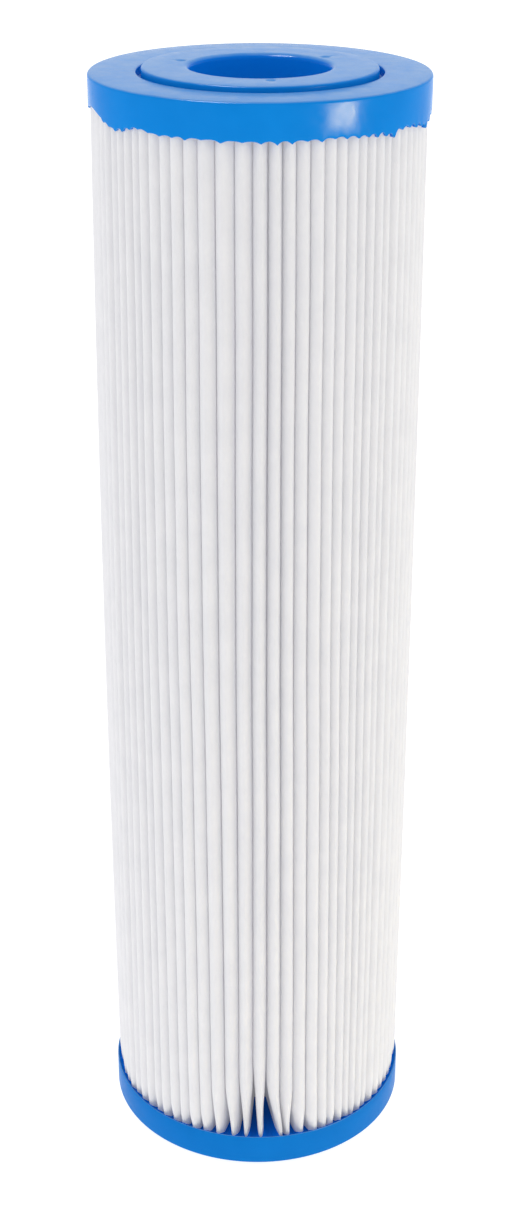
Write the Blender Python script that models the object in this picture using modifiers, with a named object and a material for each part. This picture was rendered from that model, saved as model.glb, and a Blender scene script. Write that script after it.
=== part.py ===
"""Pleated filter cartridge, open at both ends, of the 2-3/4 in by 9-7/8 in class.

Two cast vinyl end caps hold a folded non-woven sheet round a perforated core tube.
Units are metres, +Z is up, and the origin is on the axis at the foot of the part.
"""

import math

import bmesh
import bpy

# Driving dimensions
OVERALL_LENGTH = 0.2508
CAP_RADIUS = 0.034925
BORE_RADIUS = 0.0142875
GAP = 0.0003

# End caps, measured from the flat outer rim of the cap
SEAL_RISE = 0.0010
CAP_DEPTH = 0.0078
PLATE_THICKNESS = 0.0032
SKIRT_WALL = 0.0006
THROAT_WALL = 0.0009
GROOVE_INNER_RADIUS = 0.69 * CAP_RADIUS
GROOVE_OUTER_RADIUS = 0.72 * CAP_RADIUS
GROOVE_DEPTH = 0.0013
RIM_ROUND = 0.0007
SEAL_ROUND = 0.0004
CORNER_STEPS = 3
TURN_STEPS = 64

# What stands in the caps' troughs
TROUGH_INNER_RADIUS = BORE_RADIUS + THROAT_WALL
TROUGH_OUTER_RADIUS = CAP_RADIUS - SKIRT_WALL
INSERT_BOTTOM = SEAL_RISE + PLATE_THICKNESS + GAP
INSERT_HEIGHT = OVERALL_LENGTH - 2 * INSERT_BOTTOM

# Core tube
CORE_INNER_RADIUS = TROUGH_INNER_RADIUS + GAP
CORE_WALL = 0.0012
CORE_COLUMNS = 12
CORE_ROWS = 15
CORE_RIB_SHARE = 3
CORE_RING_HEIGHT = 0.0034
CORE_END_HEIGHT = 0.0080

# Pleated sheet
SHEET_THICKNESS = 0.0005
PLEATS = 76
SEAM_PITCHES = 1.6
OUTER_FOLD_RADIUS = 0.00065
INNER_FOLD_RADIUS = 0.00035
OUTER_FOLD_STEPS = 4
INNER_FOLD_STEPS = 3
SHEET_OUTER_RADIUS = TROUGH_OUTER_RADIUS - GAP
SHEET_INNER_RADIUS = CORE_INNER_RADIUS + CORE_WALL + GAP
OUTER_FOLD_CENTRE = SHEET_OUTER_RADIUS - SHEET_THICKNESS / 2 - OUTER_FOLD_RADIUS
INNER_FOLD_CENTRE = SHEET_INNER_RADIUS + SHEET_THICKNESS / 2 + INNER_FOLD_RADIUS

# Glued seam that closes the sheet into a tube, on the +Y side
SEAM_ANGLE = math.radians(90)
SEAM_HALF_WIDTH = 0.0008
BEAD_THICKNESS = 2 * (SEAM_HALF_WIDTH - GAP) - SHEET_THICKNESS
BEAD_INNER_RADIUS = 0.0240
BEAD_ROUND = 0.0001

# Colours as the shader takes them (linear)
VINYL_BLUE = (0.012, 0.235, 0.730, 1.0)
SHEET_WHITE = (0.840, 0.845, 0.850, 1.0)
CORE_WHITE = (0.800, 0.800, 0.780, 1.0)
GLUE_CREAM = (0.760, 0.740, 0.660, 1.0)


def clear_scene():
    for obj in list(bpy.data.objects):
        bpy.data.objects.remove(obj, do_unlink=True)


def make_material(name, colour, roughness, metallic=0.0):
    material = bpy.data.materials.new(name)
    material.use_nodes = True
    shader = material.node_tree.nodes["Principled BSDF"]
    shader.inputs["Base Color"].default_value = colour
    shader.inputs["Roughness"].default_value = roughness
    shader.inputs["Metallic"].default_value = metallic
    return material


def add_object(name, bm, material, collection):
    """Turns a bmesh into a named object of the collection."""
    mesh = bpy.data.meshes.new(name)
    bm.to_mesh(mesh)
    bm.free()
    mesh.materials.append(material)
    obj = bpy.data.objects.new(name, mesh)
    collection.objects.link(obj)
    return obj


def corner(radius, height, rounding, start_degrees):
    """Points of a quarter circle that rounds a corner of a profile, turned clockwise.

    The corner is at (radius, height). start_degrees is the direction from the arc's
    centre to its first point.
    """
    start = math.radians(start_degrees)
    middle = start - math.pi / 4
    centre_r = radius - math.copysign(rounding, math.cos(middle))
    centre_z = height - math.copysign(rounding, math.sin(middle))
    points = []
    for step in range(CORNER_STEPS + 1):
        angle = start - step * math.pi / 2 / CORNER_STEPS
        points.append((centre_r + rounding * math.cos(angle), centre_z + rounding * math.sin(angle)))
    return points


def cap_profile():
    """Section of the cap as it sits on top, heights measured from its flat outer rim."""
    groove_floor = (GROOVE_OUTER_RADIUS - GROOVE_INNER_RADIUS) / 2
    profile = []
    profile += corner(BORE_RADIUS, SEAL_RISE, SEAL_ROUND, 180)
    profile += corner(GROOVE_INNER_RADIUS, SEAL_RISE, SEAL_ROUND, 90)
    profile.append((GROOVE_INNER_RADIUS, -GROOVE_DEPTH + groove_floor))
    profile.append((GROOVE_INNER_RADIUS + groove_floor, -GROOVE_DEPTH))
    profile.append((GROOVE_OUTER_RADIUS, -GROOVE_DEPTH + groove_floor))
    profile.append((GROOVE_OUTER_RADIUS, 0.0))
    profile += corner(CAP_RADIUS, 0.0, RIM_ROUND, 90)
    profile.append((CAP_RADIUS, -CAP_DEPTH))
    profile.append((TROUGH_OUTER_RADIUS, -CAP_DEPTH))
    profile.append((TROUGH_OUTER_RADIUS, -PLATE_THICKNESS))
    profile.append((TROUGH_INNER_RADIUS, -PLATE_THICKNESS))
    profile.append((TROUGH_INNER_RADIUS, -CAP_DEPTH))
    profile.append((BORE_RADIUS, -CAP_DEPTH))
    return profile


def make_end_cap(name, rim_height, on_top, material, collection):
    """Turns the cap's section about the axis; the lower cap is the upper one upside down."""
    profile = cap_profile()
    side = 1
    if not on_top:
        side = -1
        profile.reverse()
    bm = bmesh.new()
    verts = []
    for radius, height in profile:
        verts.append(bm.verts.new((radius, 0.0, rim_height + side * height)))
    for index, vert in enumerate(verts):
        bm.edges.new((verts[index - 1], vert))
    cap = add_object(name, bm, material, collection)
    turn = cap.modifiers.new("turn", "SCREW")
    turn.axis = "Z"
    turn.steps = TURN_STEPS
    turn.render_steps = TURN_STEPS
    turn.use_merge_vertices = True
    turn.merge_threshold = 0.00001
    return cap


def around(angle, radius, offset):
    """The point at a radius along a direction, moved sideways by offset, in plan."""
    x = radius * math.cos(angle) - offset * math.sin(angle)
    y = radius * math.sin(angle) + offset * math.cos(angle)
    return (x, y)


def fold(angle, centre_radius, fold_radius, steps, outward):
    """A half circle of the fold line, from its clockwise side to its other side."""
    points = []
    for step in range(steps + 1):
        turn = math.pi * step / steps
        across = -fold_radius * math.cos(turn)
        along = fold_radius * math.sin(turn)
        if not outward:
            along = -along
        points.append(around(angle, centre_radius + along, across))
    return points


def fold_line():
    """The sheet's middle line in plan, from one free edge round the core to the other."""
    pitch = 2 * math.pi / (PLEATS + SEAM_PITCHES)
    first_valley = SEAM_ANGLE + SEAM_PITCHES * pitch / 2
    free_edge = OUTER_FOLD_CENTRE
    line = [around(SEAM_ANGLE, free_edge, SEAM_HALF_WIDTH)]
    for index in range(PLEATS):
        valley = first_valley + index * pitch
        line += fold(valley, INNER_FOLD_CENTRE, INNER_FOLD_RADIUS, INNER_FOLD_STEPS, False)
        ridge = valley + pitch / 2
        line += fold(ridge, OUTER_FOLD_CENTRE, OUTER_FOLD_RADIUS, OUTER_FOLD_STEPS, True)
    last_valley = first_valley + PLEATS * pitch
    line += fold(last_valley, INNER_FOLD_CENTRE, INNER_FOLD_RADIUS, INNER_FOLD_STEPS, False)
    line.append(around(SEAM_ANGLE, free_edge, -SEAM_HALF_WIDTH))
    return line


def make_pleated_media(material, collection):
    """Raises the fold line to a standing surface and gives it the sheet's thickness."""
    bm = bmesh.new()
    verts = []
    for x, y in fold_line():
        verts.append(bm.verts.new((x, y, INSERT_BOTTOM)))
    for start, end in zip(verts, verts[1:]):
        bm.edges.new((start, end))
    raised = bmesh.ops.extrude_edge_only(bm, edges=bm.edges[:])
    raised_verts = [item for item in raised["geom"] if isinstance(item, bmesh.types.BMVert)]
    bmesh.ops.translate(bm, verts=raised_verts, vec=(0.0, 0.0, INSERT_HEIGHT))
    media = add_object("pleated_media", bm, material, collection)
    thicken = media.modifiers.new("thickness", "SOLIDIFY")
    thicken.thickness = SHEET_THICKNESS
    thicken.offset = 0.0
    thicken.use_even_offset = True
    return media


def make_seam_bead(material, collection):
    """The strip of hot-melt glue between the sheet's two free edges."""
    depth = OUTER_FOLD_CENTRE - BEAD_INNER_RADIUS
    bm = bmesh.new()
    bmesh.ops.create_cube(bm, size=1.0)
    bmesh.ops.scale(bm, verts=bm.verts, vec=(BEAD_THICKNESS, depth, INSERT_HEIGHT))
    bead = add_object("seam_bead", bm, material, collection)
    bead.location = (0.0, BEAD_INNER_RADIUS + depth / 2, OVERALL_LENGTH / 2)
    rounded = bead.modifiers.new("rounded", "BEVEL")
    rounded.width = BEAD_ROUND
    rounded.segments = 1
    return bead


def core_levels():
    """Heights of the core's rings and windows, from its foot to its top."""
    rings = 2 * CORE_END_HEIGHT + (CORE_ROWS - 1) * CORE_RING_HEIGHT
    window_height = (INSERT_HEIGHT - rings) / CORE_ROWS
    levels = [0.0, CORE_END_HEIGHT]
    for _ in range(CORE_ROWS - 1):
        levels.append(levels[-1] + window_height)
        levels.append(levels[-1] + CORE_RING_HEIGHT)
    levels.append(levels[-1] + window_height)
    levels.append(INSERT_HEIGHT)
    return levels


def make_center_core(material, collection):
    """A flat grid with windows cut out of it is rolled into a tube and thickened."""
    levels = core_levels()
    columns = CORE_COLUMNS * CORE_RIB_SHARE
    rows = len(levels) - 1
    bm = bmesh.new()
    bmesh.ops.create_grid(bm, x_segments=columns, y_segments=rows, size=0.5)
    windows = []
    for face in bm.faces:
        middle = face.calc_center_median()
        column = int((middle.x + 0.5) * columns)
        row = int((middle.y + 0.5) * rows)
        if row % 2 == 1 and column % CORE_RIB_SHARE != 0:
            windows.append(face)
    bmesh.ops.delete(bm, geom=windows, context="FACES")
    for vert in bm.verts:
        angle = 2 * math.pi * vert.co.x
        level = levels[round((vert.co.y + 0.5) * rows)]
        x, y = around(angle, CORE_INNER_RADIUS, 0.0)
        vert.co = (x, y, INSERT_BOTTOM + level)
    bmesh.ops.remove_doubles(bm, verts=bm.verts, dist=0.00001)
    core = add_object("center_core", bm, material, collection)
    thicken = core.modifiers.new("thickness", "SOLIDIFY")
    thicken.thickness = CORE_WALL
    thicken.offset = 1.0
    thicken.use_even_offset = True
    return core


def main():
    clear_scene()
    collection = bpy.data.collections.new("filter_cartridge")
    bpy.context.scene.collection.children.link(collection)
    top_vinyl = make_material("top_end_cap", VINYL_BLUE, 0.35)
    bottom_vinyl = make_material("bottom_end_cap", VINYL_BLUE, 0.35)
    sheet = make_material("pleated_media", SHEET_WHITE, 0.9)
    plastic = make_material("center_core", CORE_WHITE, 0.5)
    glue = make_material("seam_bead", GLUE_CREAM, 0.45)
    make_end_cap("bottom_end_cap", SEAL_RISE, False, bottom_vinyl, collection)
    make_center_core(plastic, collection)
    make_pleated_media(sheet, collection)
    make_seam_bead(glue, collection)
    make_end_cap("top_end_cap", OVERALL_LENGTH - SEAL_RISE, True, top_vinyl, collection)


main()
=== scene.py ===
"""Looks of a pleated filter cartridge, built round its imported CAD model.

Units are metres. The cartridge stands on the floor at z = 0 with its axis along Z, and
the camera looks along +Y. Angles round the axis are measured from +X, so the front of
the cartridge is at -90 degrees and the sheet's glued seam is at +90 degrees.
"""

import math

import bpy
import numpy as np
from mathutils import Matrix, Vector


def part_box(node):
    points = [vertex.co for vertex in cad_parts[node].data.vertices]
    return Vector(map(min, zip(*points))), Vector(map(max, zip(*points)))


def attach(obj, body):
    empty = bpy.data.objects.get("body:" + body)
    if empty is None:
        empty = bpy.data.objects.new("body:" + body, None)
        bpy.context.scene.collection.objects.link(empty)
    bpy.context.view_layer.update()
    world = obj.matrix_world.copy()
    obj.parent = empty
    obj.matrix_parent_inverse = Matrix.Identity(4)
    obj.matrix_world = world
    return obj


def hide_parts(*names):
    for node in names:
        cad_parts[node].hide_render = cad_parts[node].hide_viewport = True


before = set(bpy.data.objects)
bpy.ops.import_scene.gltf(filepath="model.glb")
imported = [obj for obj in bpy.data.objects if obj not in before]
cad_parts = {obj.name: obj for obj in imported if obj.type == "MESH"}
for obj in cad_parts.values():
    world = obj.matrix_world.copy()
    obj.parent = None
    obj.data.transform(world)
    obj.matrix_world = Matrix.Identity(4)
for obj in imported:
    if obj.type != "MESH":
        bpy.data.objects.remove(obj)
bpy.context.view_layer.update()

# The frame's own sizes
TOP_LOW, TOP_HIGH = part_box("top_end_cap")
_, BOTTOM_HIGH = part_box("bottom_end_cap")
MEDIA_LOW, MEDIA_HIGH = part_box("pleated_media")
_, CORE_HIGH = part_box("center_core")
CAP_RADIUS = TOP_HIGH.x
LENGTH = TOP_HIGH.z
CORE_RADIUS = CORE_HIGH.x

# Caps: radii and heights on both caps, heights measured from the flat outer rim
BORE_RADIUS = 0.0142875
SEAL_RISE = 0.0010
GROOVE_INNER = 0.69 * CAP_RADIUS
GROOVE_OUTER = 0.72 * CAP_RADIUS
GROOVE_DEPTH = 0.0018
THROAT_WALL = 0.0009
PLATE_THICKNESS = 0.0032
TOP_RIM = LENGTH - SEAL_RISE
BOTTOM_RIM = SEAL_RISE
BORE_ROUND = 0.0012
SEAL_ROUND = 0.0005
GROOVE_ROUND = 0.0002
RIM_ROUND = 0.0006
ARC_STEPS = 5
TURN_STEPS = 924
POTTING_RINGS = 9

# The groove's floor: share of its width from the inner side, and share of its depth
GROOVE_FLOOR = (
    (0.0, 0.1), (0.03, 0.8), (0.12, 0.95), (0.2, 1.0), (0.5, 1.0), (0.8, 1.0), (0.88, 0.95), (0.97, 0.8),
)

# How far the top skirt falls short of its full depth: degrees from the front, degrees of width, rise
SKIRT_UNEVEN = (
    (-74, 10.5, 0.00155),
    (-56, 5, -0.0006),
    (-43, 5, 0.0007),
    (27, 6, 0.0002),
    (47, 2.5, -0.0006),
    (71, 6, -0.0010),
    (88, 8, 0.0003),
    (150, 12, 0.0008),
    (-150, 9, -0.0005),
)

# The skirts' free edges and the potting inside them: inset, rise, and extra rise between ridges
TOP_LIP = (
    (0.0, 0.0026, 0.0),
    (0.0, 0.00050, 0.0),
    (0.00003, 0.00020, 0.0),
    (0.00014, 0.00005, 0.0),
    (0.00034, 0.0, 0.0),
    (0.00060, 0.00005, 0.00018),
    (0.00090, 0.00008, 0.00045),
    (0.00130, 0.00010, 0.00085),
    (0.00220, 0.00012, 0.00125),
    (0.00500, 0.00030, 0.00140),
)
TOP_POTTING_RISE = 0.0018
BOTTOM_LIP = (
    (0.0, 0.0026, 0.0),
    (0.0, 0.00025, 0.0),
    (0.00004, 0.00008, 0.0),
    (0.00014, 0.0, 0.0),
    (0.00028, 0.00015, 0.0),
    (0.00045, 0.00050, 0.0),
    (0.00075, 0.00070, 0.00015),
    (0.00120, 0.00060, 0.00050),
    (0.00220, 0.00050, 0.00110),
    (0.00500, 0.00060, 0.00160),
)
BOTTOM_POTTING_RISE = 0.0022

PIN_MARKS = (math.radians(-83), math.radians(38), math.radians(161))
PIN_MARK_RADIUS = 0.49 * CAP_RADIUS
PIN_MARK_SIZE = 0.0009
PIN_MARK_DEPTH = 0.0004

# Pleated sheet
PLEATS = 76
SEAM_PITCHES = 1.6
FRONT = math.radians(-90)
SEAM = math.radians(90)
SEAM_HALF_WIDTH = 0.0008
SHEET_THICKNESS = 0.00045
SHEET_INNER = CORE_RADIUS + 0.0003 + SHEET_THICKNESS / 2
INNER_FOLD = 0.00035
TOP_REACH = 0.0337
BOTTOM_REACH = 0.0340
FRONT_NOSE_SLENDER = 2.0
SIDE_NOSE_SLENDER = 0.70
FRONT_NOSE_SPREAD = math.radians(15)
NOSE_FORM = ((1.0, 1.0), (0.88, 0.95), (0.46, 0.70), (0.16, 0.41), (0.04, 0.19), (0.0, 0.0))
UNEVEN_SPACING = 0.08
UNEVEN_REACH = 0.00010
SLOW_SWAY = (math.radians(0.16), 0.021)
QUICK_SWAY = (math.radians(0.07), 0.0083)
FOOT_BUCKLE = (math.radians(0.25), 0.0032)
FOOT_RETREAT = 0.00025
FRONT_FOOT_HEIGHT = 0.016
SIDE_FOOT_HEIGHT = 0.004
FRONT_FEET = math.radians(-2)
FRONT_FEET_SPREAD = math.radians(16)
LEFT_BULGE = 0.00045
MIDDLE_BULGE = 0.00030
CLOSED_SLIT = -0.00009
OPEN_SLIT = 0.00010
OPEN_SPREAD = math.radians(14)
OPEN_VALLEY = math.radians(4)
OPEN_VALLEY_LEAN = math.radians(2.5)
WIDEST_SLIT = 0.00003

# Where the sheet's spacing is wider or closer than even, as judged from the photo:
# degrees from the front, degrees of width, and gain
HEAD_SPREADS = ((-10, 10, 0.5), (-50, 10, -0.2), (40, 10, -0.2))
FOOT_SPREADS = ((0, 20, 0.3), (40, 10, -0.3))
SEED = 20

rng = np.random.default_rng(SEED)


# ---------------------------------------------------------------- shared helpers


def ease(x):
    """Smooth step from 0 to 1."""
    x = np.clip(x, 0.0, 1.0)
    return x * x * (3 - 2 * x)


def wrap(angle):
    """The same direction as an angle between minus and plus half a turn."""
    return (angle + math.pi) % (2 * math.pi) - math.pi


def turn_angles():
    """Directions round the axis, one for each column of a cap's mesh."""
    return np.linspace(0, 2 * math.pi, TURN_STEPS, endpoint=False)


def waves(angle, count, generator, lowest=1):
    """A smooth random curve round the axis, made of count sine waves, within about 1."""
    total = np.zeros_like(angle)
    for k in range(count):
        phase = generator.uniform(0, 2 * math.pi)
        total += generator.normal() * np.sin((lowest + k) * angle + phase)
    return total / math.sqrt(count)


def add_mesh(name, points, faces):
    mesh = bpy.data.meshes.new(name)
    mesh.from_pydata(points, [], faces)
    mesh.update()
    mesh.shade_smooth()
    obj = bpy.data.objects.new(name, mesh)
    bpy.context.scene.collection.objects.link(obj)
    return obj


def grid_faces(rows, columns, close_rows, close_columns):
    """Quads over a rows by columns grid of points, joined end to end where closed."""
    row_count = rows if close_rows else rows - 1
    column_count = columns if close_columns else columns - 1
    row, column = np.meshgrid(np.arange(row_count), np.arange(column_count), indexing="ij")
    next_row = (row + 1) % rows
    next_column = (column + 1) % columns
    corners = (
        row * columns + column,
        next_row * columns + column,
        next_row * columns + next_column,
        row * columns + next_column,
    )
    return np.stack(corners, axis=-1).reshape(-1, 4).tolist()


# ---------------------------------------------------------------- materials


VINYL_IOR = 1.10
# Painted glow of the sheet, standing for light that comes through the thin fibres
SHEET_GLOW = 0.04
# Painted glow of the core, standing for light that comes through the sheet
CORE_GLOW = 0.10
# Painted sheen: a pale blue mixed into the vinyl on faces that look up or down, standing for the
# reflection of the bright surroundings
PAINTED_SHEEN_BLUE = (0.195, 0.37, 0.66)
# Painted shade: a darker, deeper blue on the bore's wall; THROAT_END gives the radii over which it fades
# out
THROAT_SHADE_BLUE = (0.001, 0.172, 0.710)
THROAT_END = (0.01435, 0.0150)
# Painted light: radii over which the sheet goes from pale in the slits to its own white on the noses
SLIT_DEPTHS = (0.0312, 0.0333)


class Nodes:
    """A material's node tree, with short ways to add nodes and links."""

    def __init__(self, name):
        self.material = bpy.data.materials.new(name)
        self.material.use_nodes = True
        self.tree = self.material.node_tree
        self.shader = self.tree.nodes["Principled BSDF"]

    def add(self, kind, **values):
        node = self.tree.nodes.new(kind)
        for key, value in values.items():
            if key.startswith("in_"):
                node.inputs[key[3:].replace("_", " ")].default_value = value
            else:
                setattr(node, key, value)
        return node

    def link(self, source, target):
        self.tree.links.new(source, target)

    def place(self):
        return self.add("ShaderNodeTexCoord").outputs["Object"]

    def noise(self, scale, detail=4.0, roughness=0.55, stretch=(1, 1, 1)):
        """A noise in object space; scale is in features per metre."""
        mapping = self.add("ShaderNodeMapping")
        mapping.inputs["Scale"].default_value = stretch
        self.link(self.place(), mapping.inputs["Vector"])
        noise = self.add("ShaderNodeTexNoise", in_Scale=scale, in_Detail=detail, in_Roughness=roughness)
        self.link(mapping.outputs["Vector"], noise.inputs["Vector"])
        return noise.outputs["Fac"]

    def remap(self, source, from_low, from_high, to_low, to_high):
        node = self.add("ShaderNodeMapRange")
        self.link(source, node.inputs["Value"])
        node.inputs["From Min"].default_value = from_low
        node.inputs["From Max"].default_value = from_high
        node.inputs["To Min"].default_value = to_low
        node.inputs["To Max"].default_value = to_high
        return node.outputs["Result"]

    def mix(self, factor, first, second):
        node = self.add("ShaderNodeMix", data_type="RGBA")
        self.link(factor, node.inputs["Factor"])
        for socket, value in ((node.inputs["A"], first), (node.inputs["B"], second)):
            if isinstance(value, tuple):
                socket.default_value = (*value, 1.0)
            else:
                self.link(value, socket)
        return node.outputs["Result"]

    def radius(self):
        """Distance from the cartridge's axis, in metres."""
        split = self.add("ShaderNodeSeparateXYZ")
        self.link(self.place(), split.inputs["Vector"])
        flat = self.add("ShaderNodeCombineXYZ")
        self.link(split.outputs["X"], flat.inputs["X"])
        self.link(split.outputs["Y"], flat.inputs["Y"])
        length = self.add("ShaderNodeVectorMath", operation="LENGTH")
        self.link(flat.outputs["Vector"], length.inputs[0])
        return length.outputs["Value"]

    def facing_up(self, most):
        """0 on walls, rising to most on faces that look straight up or down."""
        split = self.add("ShaderNodeSeparateXYZ")
        self.link(self.add("ShaderNodeNewGeometry").outputs["Normal"], split.inputs["Vector"])
        level = self.add("ShaderNodeMath", operation="ABSOLUTE")
        self.link(split.outputs["Z"], level.inputs[0])
        return self.remap(level.outputs["Value"], 0.55, 0.97, 0.0, most)

    def bump(self, layers):
        """Stacks bumps; layers are (height output, depth in metres)."""
        normal = None
        for height, depth in layers:
            bump = self.add("ShaderNodeBump", in_Distance=depth, in_Strength=1.0)
            self.link(height, bump.inputs["Height"])
            if normal is not None:
                self.link(normal, bump.inputs["Normal"])
            normal = bump.outputs["Normal"]
        self.link(normal, self.shader.inputs["Normal"])


def cast_vinyl(name, colour, dark, roughness, painted_sheen=1.0):
    """Soft cast vinyl: a saturated blue, faintly clouded, with a painted sheen: paler blue on the faces
    that look up or down.
    """
    n = Nodes(name)
    clouds = n.noise(90, 3.0)
    grain = n.noise(2600, 3.0)
    smears = n.noise(420, 5.0, 0.65)
    patches = n.noise(230, 6.0, 0.62)
    base = n.mix(n.remap(clouds, 0.3, 0.7, 0.0, 1.0), dark, colour)
    # Painted shade: the wall of the bore turns a darker blue
    base = n.mix(n.remap(n.radius(), *THROAT_END, 1.0, 0.0), base, THROAT_SHADE_BLUE)
    # Painted sheen: the faces that look up or down turn paler, in mottled patches
    sheened = n.mix(n.remap(patches, 0.36, 0.68, 0.42, 0.72), base, PAINTED_SHEEN_BLUE)
    n.link(n.mix(n.facing_up(painted_sheen), base, sheened), n.shader.inputs["Base Color"])
    n.link(n.remap(smears, 0.3, 0.75, roughness, roughness + 0.14), n.shader.inputs["Roughness"])
    n.shader.inputs["IOR"].default_value = VINYL_IOR
    n.bump([(clouds, 0.00008), (smears, 0.00001), (grain, 0.000006)])
    return n.material


def spun_polyester():
    """White spun-bonded fibre sheet: random fibres and faint mottling, with painted light: paler and bluer
    in the slits between the pleats, and a faint painted glow.
    """
    n = Nodes("spun_polyester")
    # Painted light: the sheet is paler and bluer deep in the slits, to lift the shade there
    depth = n.remap(n.radius(), *SLIT_DEPTHS, 0.0, 1.0)
    tone = n.mix(depth, (0.92, 0.92, 0.955), (0.735, 0.735, 0.762))
    mottle = n.noise(1700, 4.0, 0.6, (1, 1, 0.6))
    warmth = n.noise(160, 2.0)
    tone = n.mix(n.remap(mottle, 0.3, 0.7, 0.16, 0.0), tone, (0.66, 0.66, 0.69))
    tone = n.mix(n.remap(warmth, 0.35, 0.65, 0.0, 0.20), tone, (0.860, 0.852, 0.862))
    n.link(tone, n.shader.inputs["Base Color"])
    fibres = n.noise(3800, 5.0, 0.7, (1, 1, 0.45))
    n.link(n.remap(fibres, 0.3, 0.7, 0.82, 0.96), n.shader.inputs["Roughness"])
    n.shader.inputs["Specular IOR Level"].default_value = 0.0
    # Painted light: a faint white glow, standing for light that comes through the sheet
    n.shader.inputs["Emission Color"].default_value = (1.0, 1.0, 1.0, 1.0)
    n.shader.inputs["Emission Strength"].default_value = SHEET_GLOW
    n.bump([(mottle, 0.00010), (fibres, 0.00004)])
    return n.material


def moulded_polypropylene():
    """Milky moulded plastic of the core, with a painted glow standing for light that comes through the
    sheet.
    """
    n = Nodes("moulded_polypropylene")
    clouds = n.noise(120, 3.0)
    grain = n.noise(2200, 3.0)
    base = n.mix(n.remap(clouds, 0.3, 0.7, 0.0, 1.0), (0.88, 0.89, 0.88), (0.93, 0.93, 0.92))
    n.link(base, n.shader.inputs["Base Color"])
    n.link(n.remap(grain, 0.3, 0.7, 0.38, 0.5), n.shader.inputs["Roughness"])
    n.shader.inputs["Emission Color"].default_value = (1.0, 1.0, 1.0, 1.0)
    n.shader.inputs["Emission Strength"].default_value = CORE_GLOW
    n.bump([(clouds, 0.00006), (grain, 0.000008)])
    return n.material


def hot_melt():
    """Cream hot-melt glue of the seam."""
    n = Nodes("hot_melt")
    ripples = n.noise(500, 3.0, 0.5, (1, 1, 0.3))
    base = n.mix(n.remap(ripples, 0.3, 0.7, 0.0, 1.0), (0.70, 0.67, 0.58), (0.80, 0.78, 0.71))
    n.link(base, n.shader.inputs["Base Color"])
    n.link(n.remap(ripples, 0.3, 0.7, 0.3, 0.45), n.shader.inputs["Roughness"])
    n.bump([(ripples, 0.00012)])
    return n.material


# ---------------------------------------------------------------- pleated sheet


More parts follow.
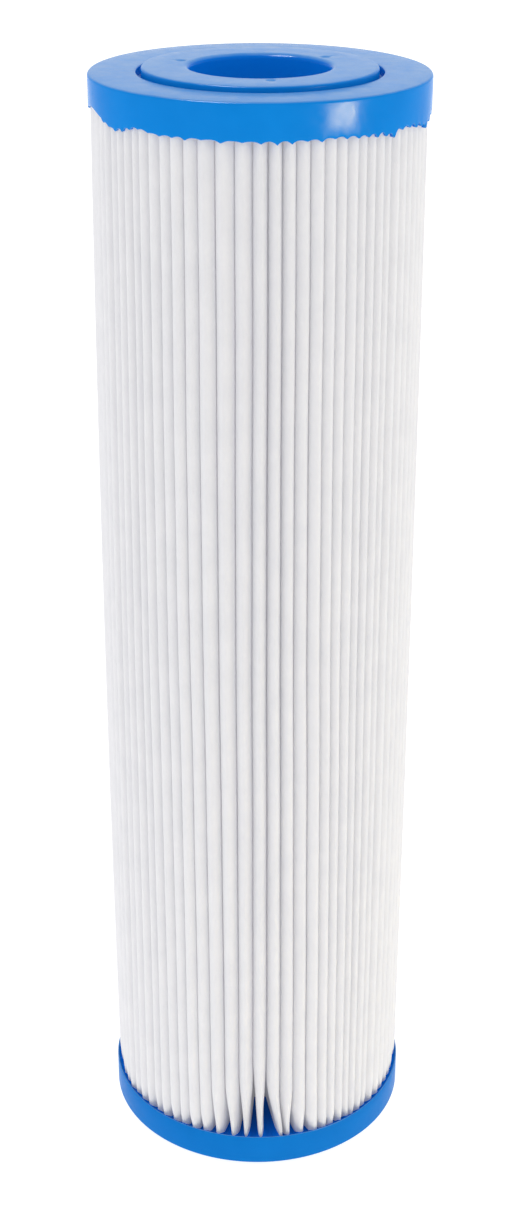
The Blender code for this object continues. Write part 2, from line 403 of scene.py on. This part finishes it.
class Pleats:
    """Where each ridge of the folded sheet runs, how wide it is and how it closes at the foot."""

    def __init__(self):
        self.pitch = 2 * math.pi / (PLEATS + SEAM_PITCHES)
        self.first_valley = SEAM + SEAM_PITCHES * self.pitch / 2
        self.last_valley = self.first_valley + PLEATS * self.pitch
        uneven = np.radians(rng.normal(0, UNEVEN_SPACING, PLEATS))
        self.head_ridges = self.spread(HEAD_SPREADS) + uneven
        self.foot_ridges = self.spread(FOOT_SPREADS) + uneven
        self.from_middle = self.from_front((self.head_ridges + self.foot_ridges) / 2)
        self.reach = rng.normal(0, UNEVEN_REACH, PLEATS)
        self.slender = SIDE_NOSE_SLENDER + (FRONT_NOSE_SLENDER - SIDE_NOSE_SLENDER) * np.exp(
            -((self.from_middle / FRONT_NOSE_SPREAD) ** 2)
        )
        self.phase = np.cumsum(rng.normal(0, 0.30, PLEATS))
        self.sway = rng.uniform(0.4, 1.0, PLEATS)
        self.open_slits()
        self.close_feet()

    def from_front(self, angle):
        return wrap(angle - FRONT)

    def spread(self, spreads):
        """Ridge angles, with the even spacing widened or narrowed round some angles."""
        angle = np.linspace(self.first_valley, self.last_valley, 20001)
        spacing = np.ones_like(angle)
        for place, width, gain in spreads:
            away = self.from_front(angle - math.radians(place))
            spacing += gain * np.exp(-((away / math.radians(width)) ** 2))
        count = np.concatenate([[0.0], np.cumsum((1 / spacing[1:] + 1 / spacing[:-1]) / 2)])
        return np.interp(np.arange(PLEATS) + 0.5, count * PLEATS / count[-1], angle)

    def open_slits(self):
        """Widths of the slits between neighbouring ridges: all but shut, and ajar at the front."""
        middle = (self.from_middle[1:] + self.from_middle[:-1]) / 2
        ajar = OPEN_SLIT * np.exp(-((middle / OPEN_SPREAD) ** 2))
        self.slit = CLOSED_SLIT * rng.uniform(0.5, 1.5, PLEATS - 1)
        self.slit += ajar * rng.uniform(0.5, 1.0, PLEATS - 1)
        self.open_valley = int(np.argmin(np.abs(middle - OPEN_VALLEY)))
        self.slit[self.open_valley] = WIDEST_SLIT

    def close_feet(self):
        """How each ridge narrows and leans on its way into the bottom cap."""
        front = np.exp(-(((self.from_middle - FRONT_FEET) / FRONT_FEET_SPREAD) ** 4))
        self.foot_height = (SIDE_FOOT_HEIGHT + FRONT_FOOT_HEIGHT * front) * rng.uniform(0.75, 1.25, PLEATS)
        self.pinch = rng.uniform(0.28, 0.44, PLEATS) + 0.22 * front
        self.hollow_foot = 0.8 * front
        self.lean = np.radians(rng.normal(0, 0.35, PLEATS) + 0.3 * front)
        self.lean[self.open_valley + 1] = OPEN_VALLEY_LEAN

    def foot(self, z):
        """For each ridge, 0 along the sheet, rising to 1 where it goes into the bottom cap."""
        return ease((BOTTOM_HIGH.z + self.foot_height - z) / (self.foot_height + 0.001))

    def angles_at(self, z):
        fallen = np.clip((TOP_LOW.z - z) / (TOP_LOW.z - BOTTOM_HIGH.z), 0, 1) ** 1.6
        even = self.head_ridges + (self.foot_ridges - self.head_ridges) * fallen
        foot = self.foot(z)
        slow = SLOW_SWAY[0] * np.sin(z / SLOW_SWAY[1] + self.phase)
        quick = QUICK_SWAY[0] * np.sin(z / QUICK_SWAY[1] + 2 * self.phase)
        buckle = FOOT_BUCKLE[0] * np.sin(z / FOOT_BUCKLE[1] + 3 * self.phase)
        buckle *= foot * (self.foot_height > 0.01)
        return even + self.lean * foot**1.6 + self.sway * (slow + quick + buckle)

    def edges_at(self, z):
        """Angles of the ridges, of the valleys round them, and of each ridge's low and high side."""
        ridges = self.angles_at(z)
        between = (ridges[1:] + ridges[:-1]) / 2
        valleys = np.concatenate([[self.first_valley], between, [self.last_valley]])
        plain = ridges - self.lean * self.foot(z) ** 1.6
        half = (np.diff(plain) - (self.slit + SHEET_THICKNESS) / TOP_REACH) / 2
        beside_seam = self.pitch * 0.36
        width = 1 - self.pinch * self.foot(z) ** 1.25
        low = np.concatenate([[beside_seam], half]) * width
        high = np.concatenate([half, [beside_seam]]) * width
        return ridges, valleys, low, high

    def bulge(self, share):
        """How far the sheet swells between the caps, and more so on its left side."""
        swell = 4 * share * (1 - share)
        left = np.exp(-(((self.from_middle + math.pi / 2) / math.radians(45)) ** 2))
        return MIDDLE_BULGE * swell + LEFT_BULGE * left * (share + 0.8 * swell)

    def line_at(self, z):
        """The sheet's middle line at height z, as angles and radii."""
        ridges, valleys, lows, highs = self.edges_at(z)
        share = (z - MEDIA_LOW.z) / (MEDIA_HIGH.z - MEDIA_LOW.z)
        foot = self.foot(z)
        reach = BOTTOM_REACH + (TOP_REACH - BOTTOM_REACH) * share + self.reach - FOOT_RETREAT * foot**2
        reach += self.bulge(share)
        seam_edge = TOP_REACH - 0.0008
        angles, radii = [SEAM + SEAM_HALF_WIDTH / seam_edge], [seam_edge]
        for i in range(PLEATS + 1):
            valley = valleys[i]
            before = (valley - ridges[i - 1]) / 2 if i > 0 else past_seam(valley)
            after = (ridges[i] - valley) / 2 if i < PLEATS else before_seam(valley)
            angles += [valley - before, valley, valley + after]
            radii += [SHEET_INNER + INNER_FOLD, SHEET_INNER, SHEET_INNER + INNER_FOLD]
            if i == PLEATS:
                break
            depth = self.slender[i] * (1 + self.hollow_foot[i] * foot[i]) * self.pitch / 2 * reach[i]
            for down, out in NOSE_FORM:
                angles.append(ridges[i] - lows[i] * out)
                radii.append(reach[i] - depth * down)
            for down, out in NOSE_FORM[-2::-1]:
                angles.append(ridges[i] + highs[i] * out)
                radii.append(reach[i] - depth * down)
        angles.append(SEAM + 2 * math.pi - SEAM_HALF_WIDTH / seam_edge)
        radii.append(seam_edge)
        return np.array(angles), np.array(radii)

    def nearest(self, angle, z):
        """For directions round the axis: the nearest ridge's number, and 0 on it to 1 in the valley."""
        ridges = np.append(self.angles_at(z), SEAM)
        away = wrap(angle[:, None] - ridges[None, :])
        index = np.abs(away).argmin(axis=1)
        offset = away[np.arange(len(angle)), index]
        ordered = np.sort(np.mod(ridges, 2 * math.pi))
        place = np.searchsorted(ordered, np.mod(angle, 2 * math.pi))
        spacing = np.mod(ordered[place % len(ordered)] - ordered[place - 1], 2 * math.pi)
        return index, np.clip(np.abs(offset) / (spacing / 2), 0, 1)


def past_seam(valley):
    """From the sheet's end beside the seam to the middle of the first valley."""
    return (valley - SEAM) - SEAM_HALF_WIDTH / SHEET_INNER


def before_seam(valley):
    """From the middle of the last valley to the sheet's end beside the seam."""
    return SEAM + 2 * math.pi - valley - SEAM_HALF_WIDTH / SHEET_INNER


def media_levels():
    """Heights of the sheet's rows: close together where the pleats close up at the foot."""
    foot_end = BOTTOM_HIGH.z + SIDE_FOOT_HEIGHT + FRONT_FOOT_HEIGHT
    low = np.linspace(MEDIA_LOW.z, BOTTOM_HIGH.z - 0.0012, 2)
    pinched = np.linspace(BOTTOM_HIGH.z, foot_end, 18)
    plain = np.linspace(foot_end, TOP_LOW.z + 0.001, 23)[1:]
    return np.concatenate([low, pinched, plain, [MEDIA_HIGH.z]])


def make_media(pleats):
    levels = media_levels()
    rows = []
    for z in levels:
        angles, radii = pleats.line_at(z)
        row = [radii * np.cos(angles), radii * np.sin(angles), np.full_like(radii, z)]
        rows.append(np.stack(row, axis=1))
    columns = len(rows[0])
    points = np.concatenate(rows).tolist()
    media = add_mesh("pleated_sheet", points, grid_faces(len(levels), columns, False, False))
    thicken = media.modifiers.new("thickness", "SOLIDIFY")
    thicken.thickness = SHEET_THICKNESS
    thicken.offset = 0.0
    thicken.use_even_offset = True
    middle = rows[len(rows) // 2]
    length = float(np.linalg.norm(np.diff(middle, axis=0), axis=1).sum())
    return media, length


# ---------------------------------------------------------------- end caps


def arc(radius, height, rounding, start_degrees):
    """A quarter circle in a corner of a section, clockwise from start_degrees."""
    start = math.radians(start_degrees)
    middle = start - math.pi / 4
    centre_r = radius - math.copysign(rounding, math.cos(middle))
    centre_z = height - math.copysign(rounding, math.sin(middle))
    turns = start - np.linspace(0, math.pi / 2, ARC_STEPS + 1)
    return [(centre_r + rounding * math.cos(t), centre_z + rounding * math.sin(t)) for t in turns]


def face_section(foot):
    """The cap's section from the foot of the throat, over its outer face, to the top of the skirt."""
    section = [(BORE_RADIUS + THROAT_WALL * 0.5, foot), (BORE_RADIUS + 0.0001, foot + 0.0003)]
    section += [(BORE_RADIUS, share * foot) for share in (0.7, 0.4)]
    section += arc(BORE_RADIUS, SEAL_RISE, BORE_ROUND, 180)
    section += [(PIN_MARK_RADIUS + step * PIN_MARK_SIZE / 2, SEAL_RISE) for step in range(-3, 4)]
    section += [(0.5 * (PIN_MARK_RADIUS + GROOVE_INNER), SEAL_RISE)]
    section += arc(GROOVE_INNER, SEAL_RISE, SEAL_ROUND, 90)
    for from_inner, deep in GROOVE_FLOOR:
        section.append((GROOVE_INNER + from_inner * (GROOVE_OUTER - GROOVE_INNER), -deep * GROOVE_DEPTH))
    section += [(GROOVE_OUTER, -GROOVE_ROUND), (GROOVE_OUTER + 0.3 * GROOVE_ROUND, -0.3 * GROOVE_ROUND)]
    section += [(GROOVE_OUTER + GROOVE_ROUND, 0.0), (GROOVE_OUTER + 3 * GROOVE_ROUND, 0.0)]
    section += [(0.86 * CAP_RADIUS, 0.0)]
    section += arc(CAP_RADIUS, 0.0, RIM_ROUND, 90)
    return section


def pin_marks(radius, angle, height):
    """Presses the mould's three locating pins into the sealing ring."""
    drop = np.zeros_like(angle)
    for mark in PIN_MARKS:
        away = wrap(angle - mark)
        across = np.hypot(radius * away, radius - PIN_MARK_RADIUS) / PIN_MARK_SIZE
        drop += np.exp(-(across**4))
    on_seal = abs(height - SEAL_RISE) < 1e-6
    return height - PIN_MARK_DEPTH * drop * on_seal


def build_cap(name, rim_height, side, lip):
    """Turns the section about the axis. side is 1 for the top cap and -1 for the bottom one.

    lip is a list of (radius, height) arrays round the axis that carry the section on from
    the skirt, across the potting between the pleats, to the core's slot.
    """
    depth = TOP_RIM - TOP_LOW.z
    angle = turn_angles()
    rings = []
    uneven = waves(angle, 5, rng, 2) * 0.00002
    uneven -= uneven.max()
    for radius, height in face_section(-depth):
        z = pin_marks(radius, angle, height)
        if height > -0.0001:
            z = z + uneven
        rings.append((np.full_like(angle, radius), z))
    rings += lip
    rings += [
        (np.full_like(angle, CORE_RADIUS + 0.0002), np.full_like(angle, -PLATE_THICKNESS)),
        (np.full_like(angle, BORE_RADIUS + THROAT_WALL), np.full_like(angle, -PLATE_THICKNESS)),
        (np.full_like(angle, BORE_RADIUS + THROAT_WALL), np.full_like(angle, -depth + 0.0002)),
    ]
    layers = []
    for radius, height in rings:
        z = rim_height + side * height
        layers.append(np.stack([radius * np.cos(angle), radius * np.sin(angle), z], axis=1))
    points = np.concatenate(layers).tolist()
    faces = grid_faces(len(layers), len(angle), True, True)
    if side > 0:
        faces = [face[::-1] for face in faces]
    cap = add_mesh(name, points, faces)
    potting_starts = (len(rings) - POTTING_RINGS) * TURN_STEPS
    inside = np.arange(len(faces)) >= potting_starts
    cap.data.materials.append(None)
    cap.data.materials.append(None)
    cap.data.polygons.foreach_set("material_index", inside.astype(np.int32))
    return cap


def lip_rings(section, angle, edge, hollow, potting_rise):
    """A lip's section carried round the axis; hollow is 0 on the ridges and 1 between them."""
    rings = []
    for inset, rise, cave in section:
        rings.append((np.full_like(angle, CAP_RADIUS - inset), edge + rise + cave * hollow))
    potting = TOP_LOW.z - TOP_RIM + potting_rise
    rings.append((np.full_like(angle, CORE_RADIUS + 0.0002), np.full_like(angle, potting)))
    return rings


def top_lip(pleats):
    """The top skirt's lower edge, where the vinyl crept down each ridge before it set."""
    depth = TOP_RIM - TOP_LOW.z
    angle = turn_angles()
    index, valley = pleats.nearest(angle, TOP_LOW.z)
    creep = rng.uniform(0.00018, 0.00075, PLEATS + 1)[index]
    from_front = pleats.from_front(angle)
    at_front = 0.7 * np.exp(-((from_front / math.radians(7)) ** 2))
    at_right = 0.9 * np.exp(-(((from_front - 1.0) / 0.5) ** 2))
    creep *= 1 + at_front + at_right
    tooth = creep * (1 - valley) ** 2.2
    edge = -depth + 0.00050 + 0.00006 * waves(angle, 9, rng, 5)
    for place, width, rise in SKIRT_UNEVEN:
        away = pleats.from_front(angle - math.radians(place))
        edge += rise * np.exp(-((away / math.radians(width)) ** 2))
    edge -= tooth * (1 - ease((edge + depth - 0.0008) / 0.0008))
    return lip_rings(TOP_LIP, angle, edge, ease(valley * 1.3), TOP_POTTING_RISE)


def bottom_lip(pleats):
    """The bottom skirt's clean upper edge and the sunken potting that the ridges stand in."""
    depth = TOP_RIM - TOP_LOW.z
    angle = turn_angles()
    _, valley = pleats.nearest(angle, BOTTOM_HIGH.z)
    edge = -depth + 0.00015 + 0.00008 * waves(angle, 7, rng, 2)
    return lip_rings(BOTTOM_LIP, angle, edge, ease(valley * 1.2), BOTTOM_POTTING_RISE)


# ---------------------------------------------------------------- camera, light, floor


FLAG_DISTANCE = 1.1
FLAG_WIDTH = 1.2
FLAG_FOOT = 0.02
FLAG_HEAD = 0.97
FLAG_GLOW = 0.30
CAMERA_PLACE = (0.0, -0.40555, 0.31863)
CAMERA_PITCH = math.radians(24.115)
CAMERA_ROLL = math.radians(0.18)
CAMERA_LENS = 58.59
CAMERA_SENSOR = 36.0
CAMERA_SHIFT = (-0.0013, -0.0218)


def add_camera():
    data = bpy.data.cameras.new("camera")
    data.sensor_fit = "VERTICAL"
    data.sensor_height = CAMERA_SENSOR
    data.lens = CAMERA_LENS
    data.shift_x, data.shift_y = CAMERA_SHIFT
    data.clip_start = 0.01
    data.clip_end = 20.0
    camera = bpy.data.objects.new("camera", data)
    bpy.context.scene.collection.objects.link(camera)
    tilt = Matrix.Rotation(math.pi / 2 - CAMERA_PITCH, 4, "X")
    camera.matrix_world = Matrix.Translation(CAMERA_PLACE) @ tilt @ Matrix.Rotation(CAMERA_ROLL, 4, "Z")
    bpy.context.scene.camera = camera


def add_softbox(name, azimuth, elevation, distance, size, radiance, colour=(1.0, 1.0, 1.0)):
    """A rectangular light that only glosses surfaces; azimuth is from the front towards +X."""
    data = bpy.data.lights.new(name, "AREA")
    data.shape = "RECTANGLE"
    data.size, data.size_y = size
    data.energy = radiance * math.pi * size[0] * size[1]
    data.color = colour
    light = bpy.data.objects.new(name, data)
    light.visible_diffuse = False
    light.visible_camera = False
    bpy.context.scene.collection.objects.link(light)
    around, up = math.radians(azimuth), math.radians(elevation)
    flat = distance * math.cos(up)
    height = LENGTH + distance * math.sin(up)
    light.location = (flat * math.sin(around), -flat * math.cos(around), height)
    light.rotation_euler = (math.pi / 2 - up, 0.0, around)


def add_surroundings():
    world = bpy.data.worlds.new("white_studio")
    world.use_nodes = True
    background = world.node_tree.nodes["Background"]
    background.inputs["Color"].default_value = (1.0, 1.0, 1.0, 1.0)
    background.inputs["Strength"].default_value = 1.05
    bpy.context.scene.world = world
    add_softbox("window", azimuth=54, elevation=-7.1, distance=0.80, size=(0.27, 0.155),
                radiance=205, colour=(1.0, 0.80, 0.30))
    add_softbox("overhead", azimuth=-62, elevation=66, distance=0.90, size=(0.42, 0.30), radiance=150)
    add_flag()


def add_flag():
    """A grey card behind the camera: it takes some of the soft light off the front."""
    half = FLAG_WIDTH / 2
    corners = ((-half, FLAG_FOOT), (half, FLAG_FOOT), (half, FLAG_HEAD), (-half, FLAG_HEAD))
    flag = add_mesh("flag", [(x, -FLAG_DISTANCE, z) for x, z in corners], [(0, 1, 2, 3)])
    n = Nodes("grey_card")
    n.shader.inputs["Base Color"].default_value = (0.02, 0.02, 0.02, 1.0)
    n.shader.inputs["Emission Color"].default_value = (1.0, 1.0, 1.0, 1.0)
    n.shader.inputs["Emission Strength"].default_value = FLAG_GLOW
    flag.data.materials.append(n.material)
    flag.visible_camera = False
    flag.visible_glossy = False


def add_floor():
    bpy.ops.mesh.primitive_circle_add(vertices=96, radius=6.0, fill_type="NGON", location=(0, 0, 0))
    floor = bpy.context.object
    floor.name = "floor"
    n = Nodes("pale_floor")
    n.shader.inputs["Base Color"].default_value = (0.35, 0.35, 0.35, 1.0)
    n.shader.inputs["Roughness"].default_value = 0.9
    n.shader.inputs["Emission Color"].default_value = (1.0, 1.0, 1.0, 1.0)
    n.shader.inputs["Emission Strength"].default_value = 0.85
    floor.data.materials.append(n.material)


# ---------------------------------------------------------------- the object


def dress(obj, materials, *nodes, slot):
    """Gives a piece its materials and ties it to the frame."""
    for index, material in enumerate(materials):
        if index < len(obj.data.materials):
            obj.data.materials[index] = material
        else:
            obj.data.materials.append(material)
    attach(obj, "root")
    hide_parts(*nodes)


def recolour(node, material):
    """Gives a CAD node that stays in view its finished material."""
    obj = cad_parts[node]
    obj.data.materials.clear()
    obj.data.materials.append(material)


def main():
    add_camera()
    add_surroundings()
    add_floor()

    pleats = Pleats()
    media, folded_length = make_media(pleats)
    dress(media, [spun_polyester()], "pleated_media", slot="pleated_media")

    # Painted shade: the potting is the vinyl in a deeper, more saturated blue, for the shaded hollows
    # between the pleats, and gets no painted sheen
    potting = cast_vinyl("potting", (0.0, 0.170, 0.760), (0.0, 0.140, 0.680), 0.30, painted_sheen=0.0)
    top_vinyl = cast_vinyl("cast_vinyl_top", (0.005, 0.236, 0.715), (0.003, 0.212, 0.668), 0.13)
    top_cap = build_cap("top_cap", TOP_RIM, 1, top_lip(pleats))
    dress(top_cap, [top_vinyl, potting], "top_end_cap", slot="top_end_cap")
    # Painted shade: the bottom cap's vinyl is a darker copy of the top cap's, for the lower light at the
    # bottom
    shaded_bottom_vinyl = cast_vinyl("cast_vinyl_bottom_shaded", (0.003, 0.180, 0.590), (0.002, 0.163, 0.545), 0.28)
    bottom_cap = build_cap("bottom_cap", BOTTOM_RIM, -1, bottom_lip(pleats))
    dress(bottom_cap, [shaded_bottom_vinyl, potting], "bottom_end_cap", slot="bottom_end_cap")

    recolour("center_core", moulded_polypropylene())
    recolour("seam_bead", hot_melt())

    bpy.context.scene.view_settings.view_transform = "Standard"


main()
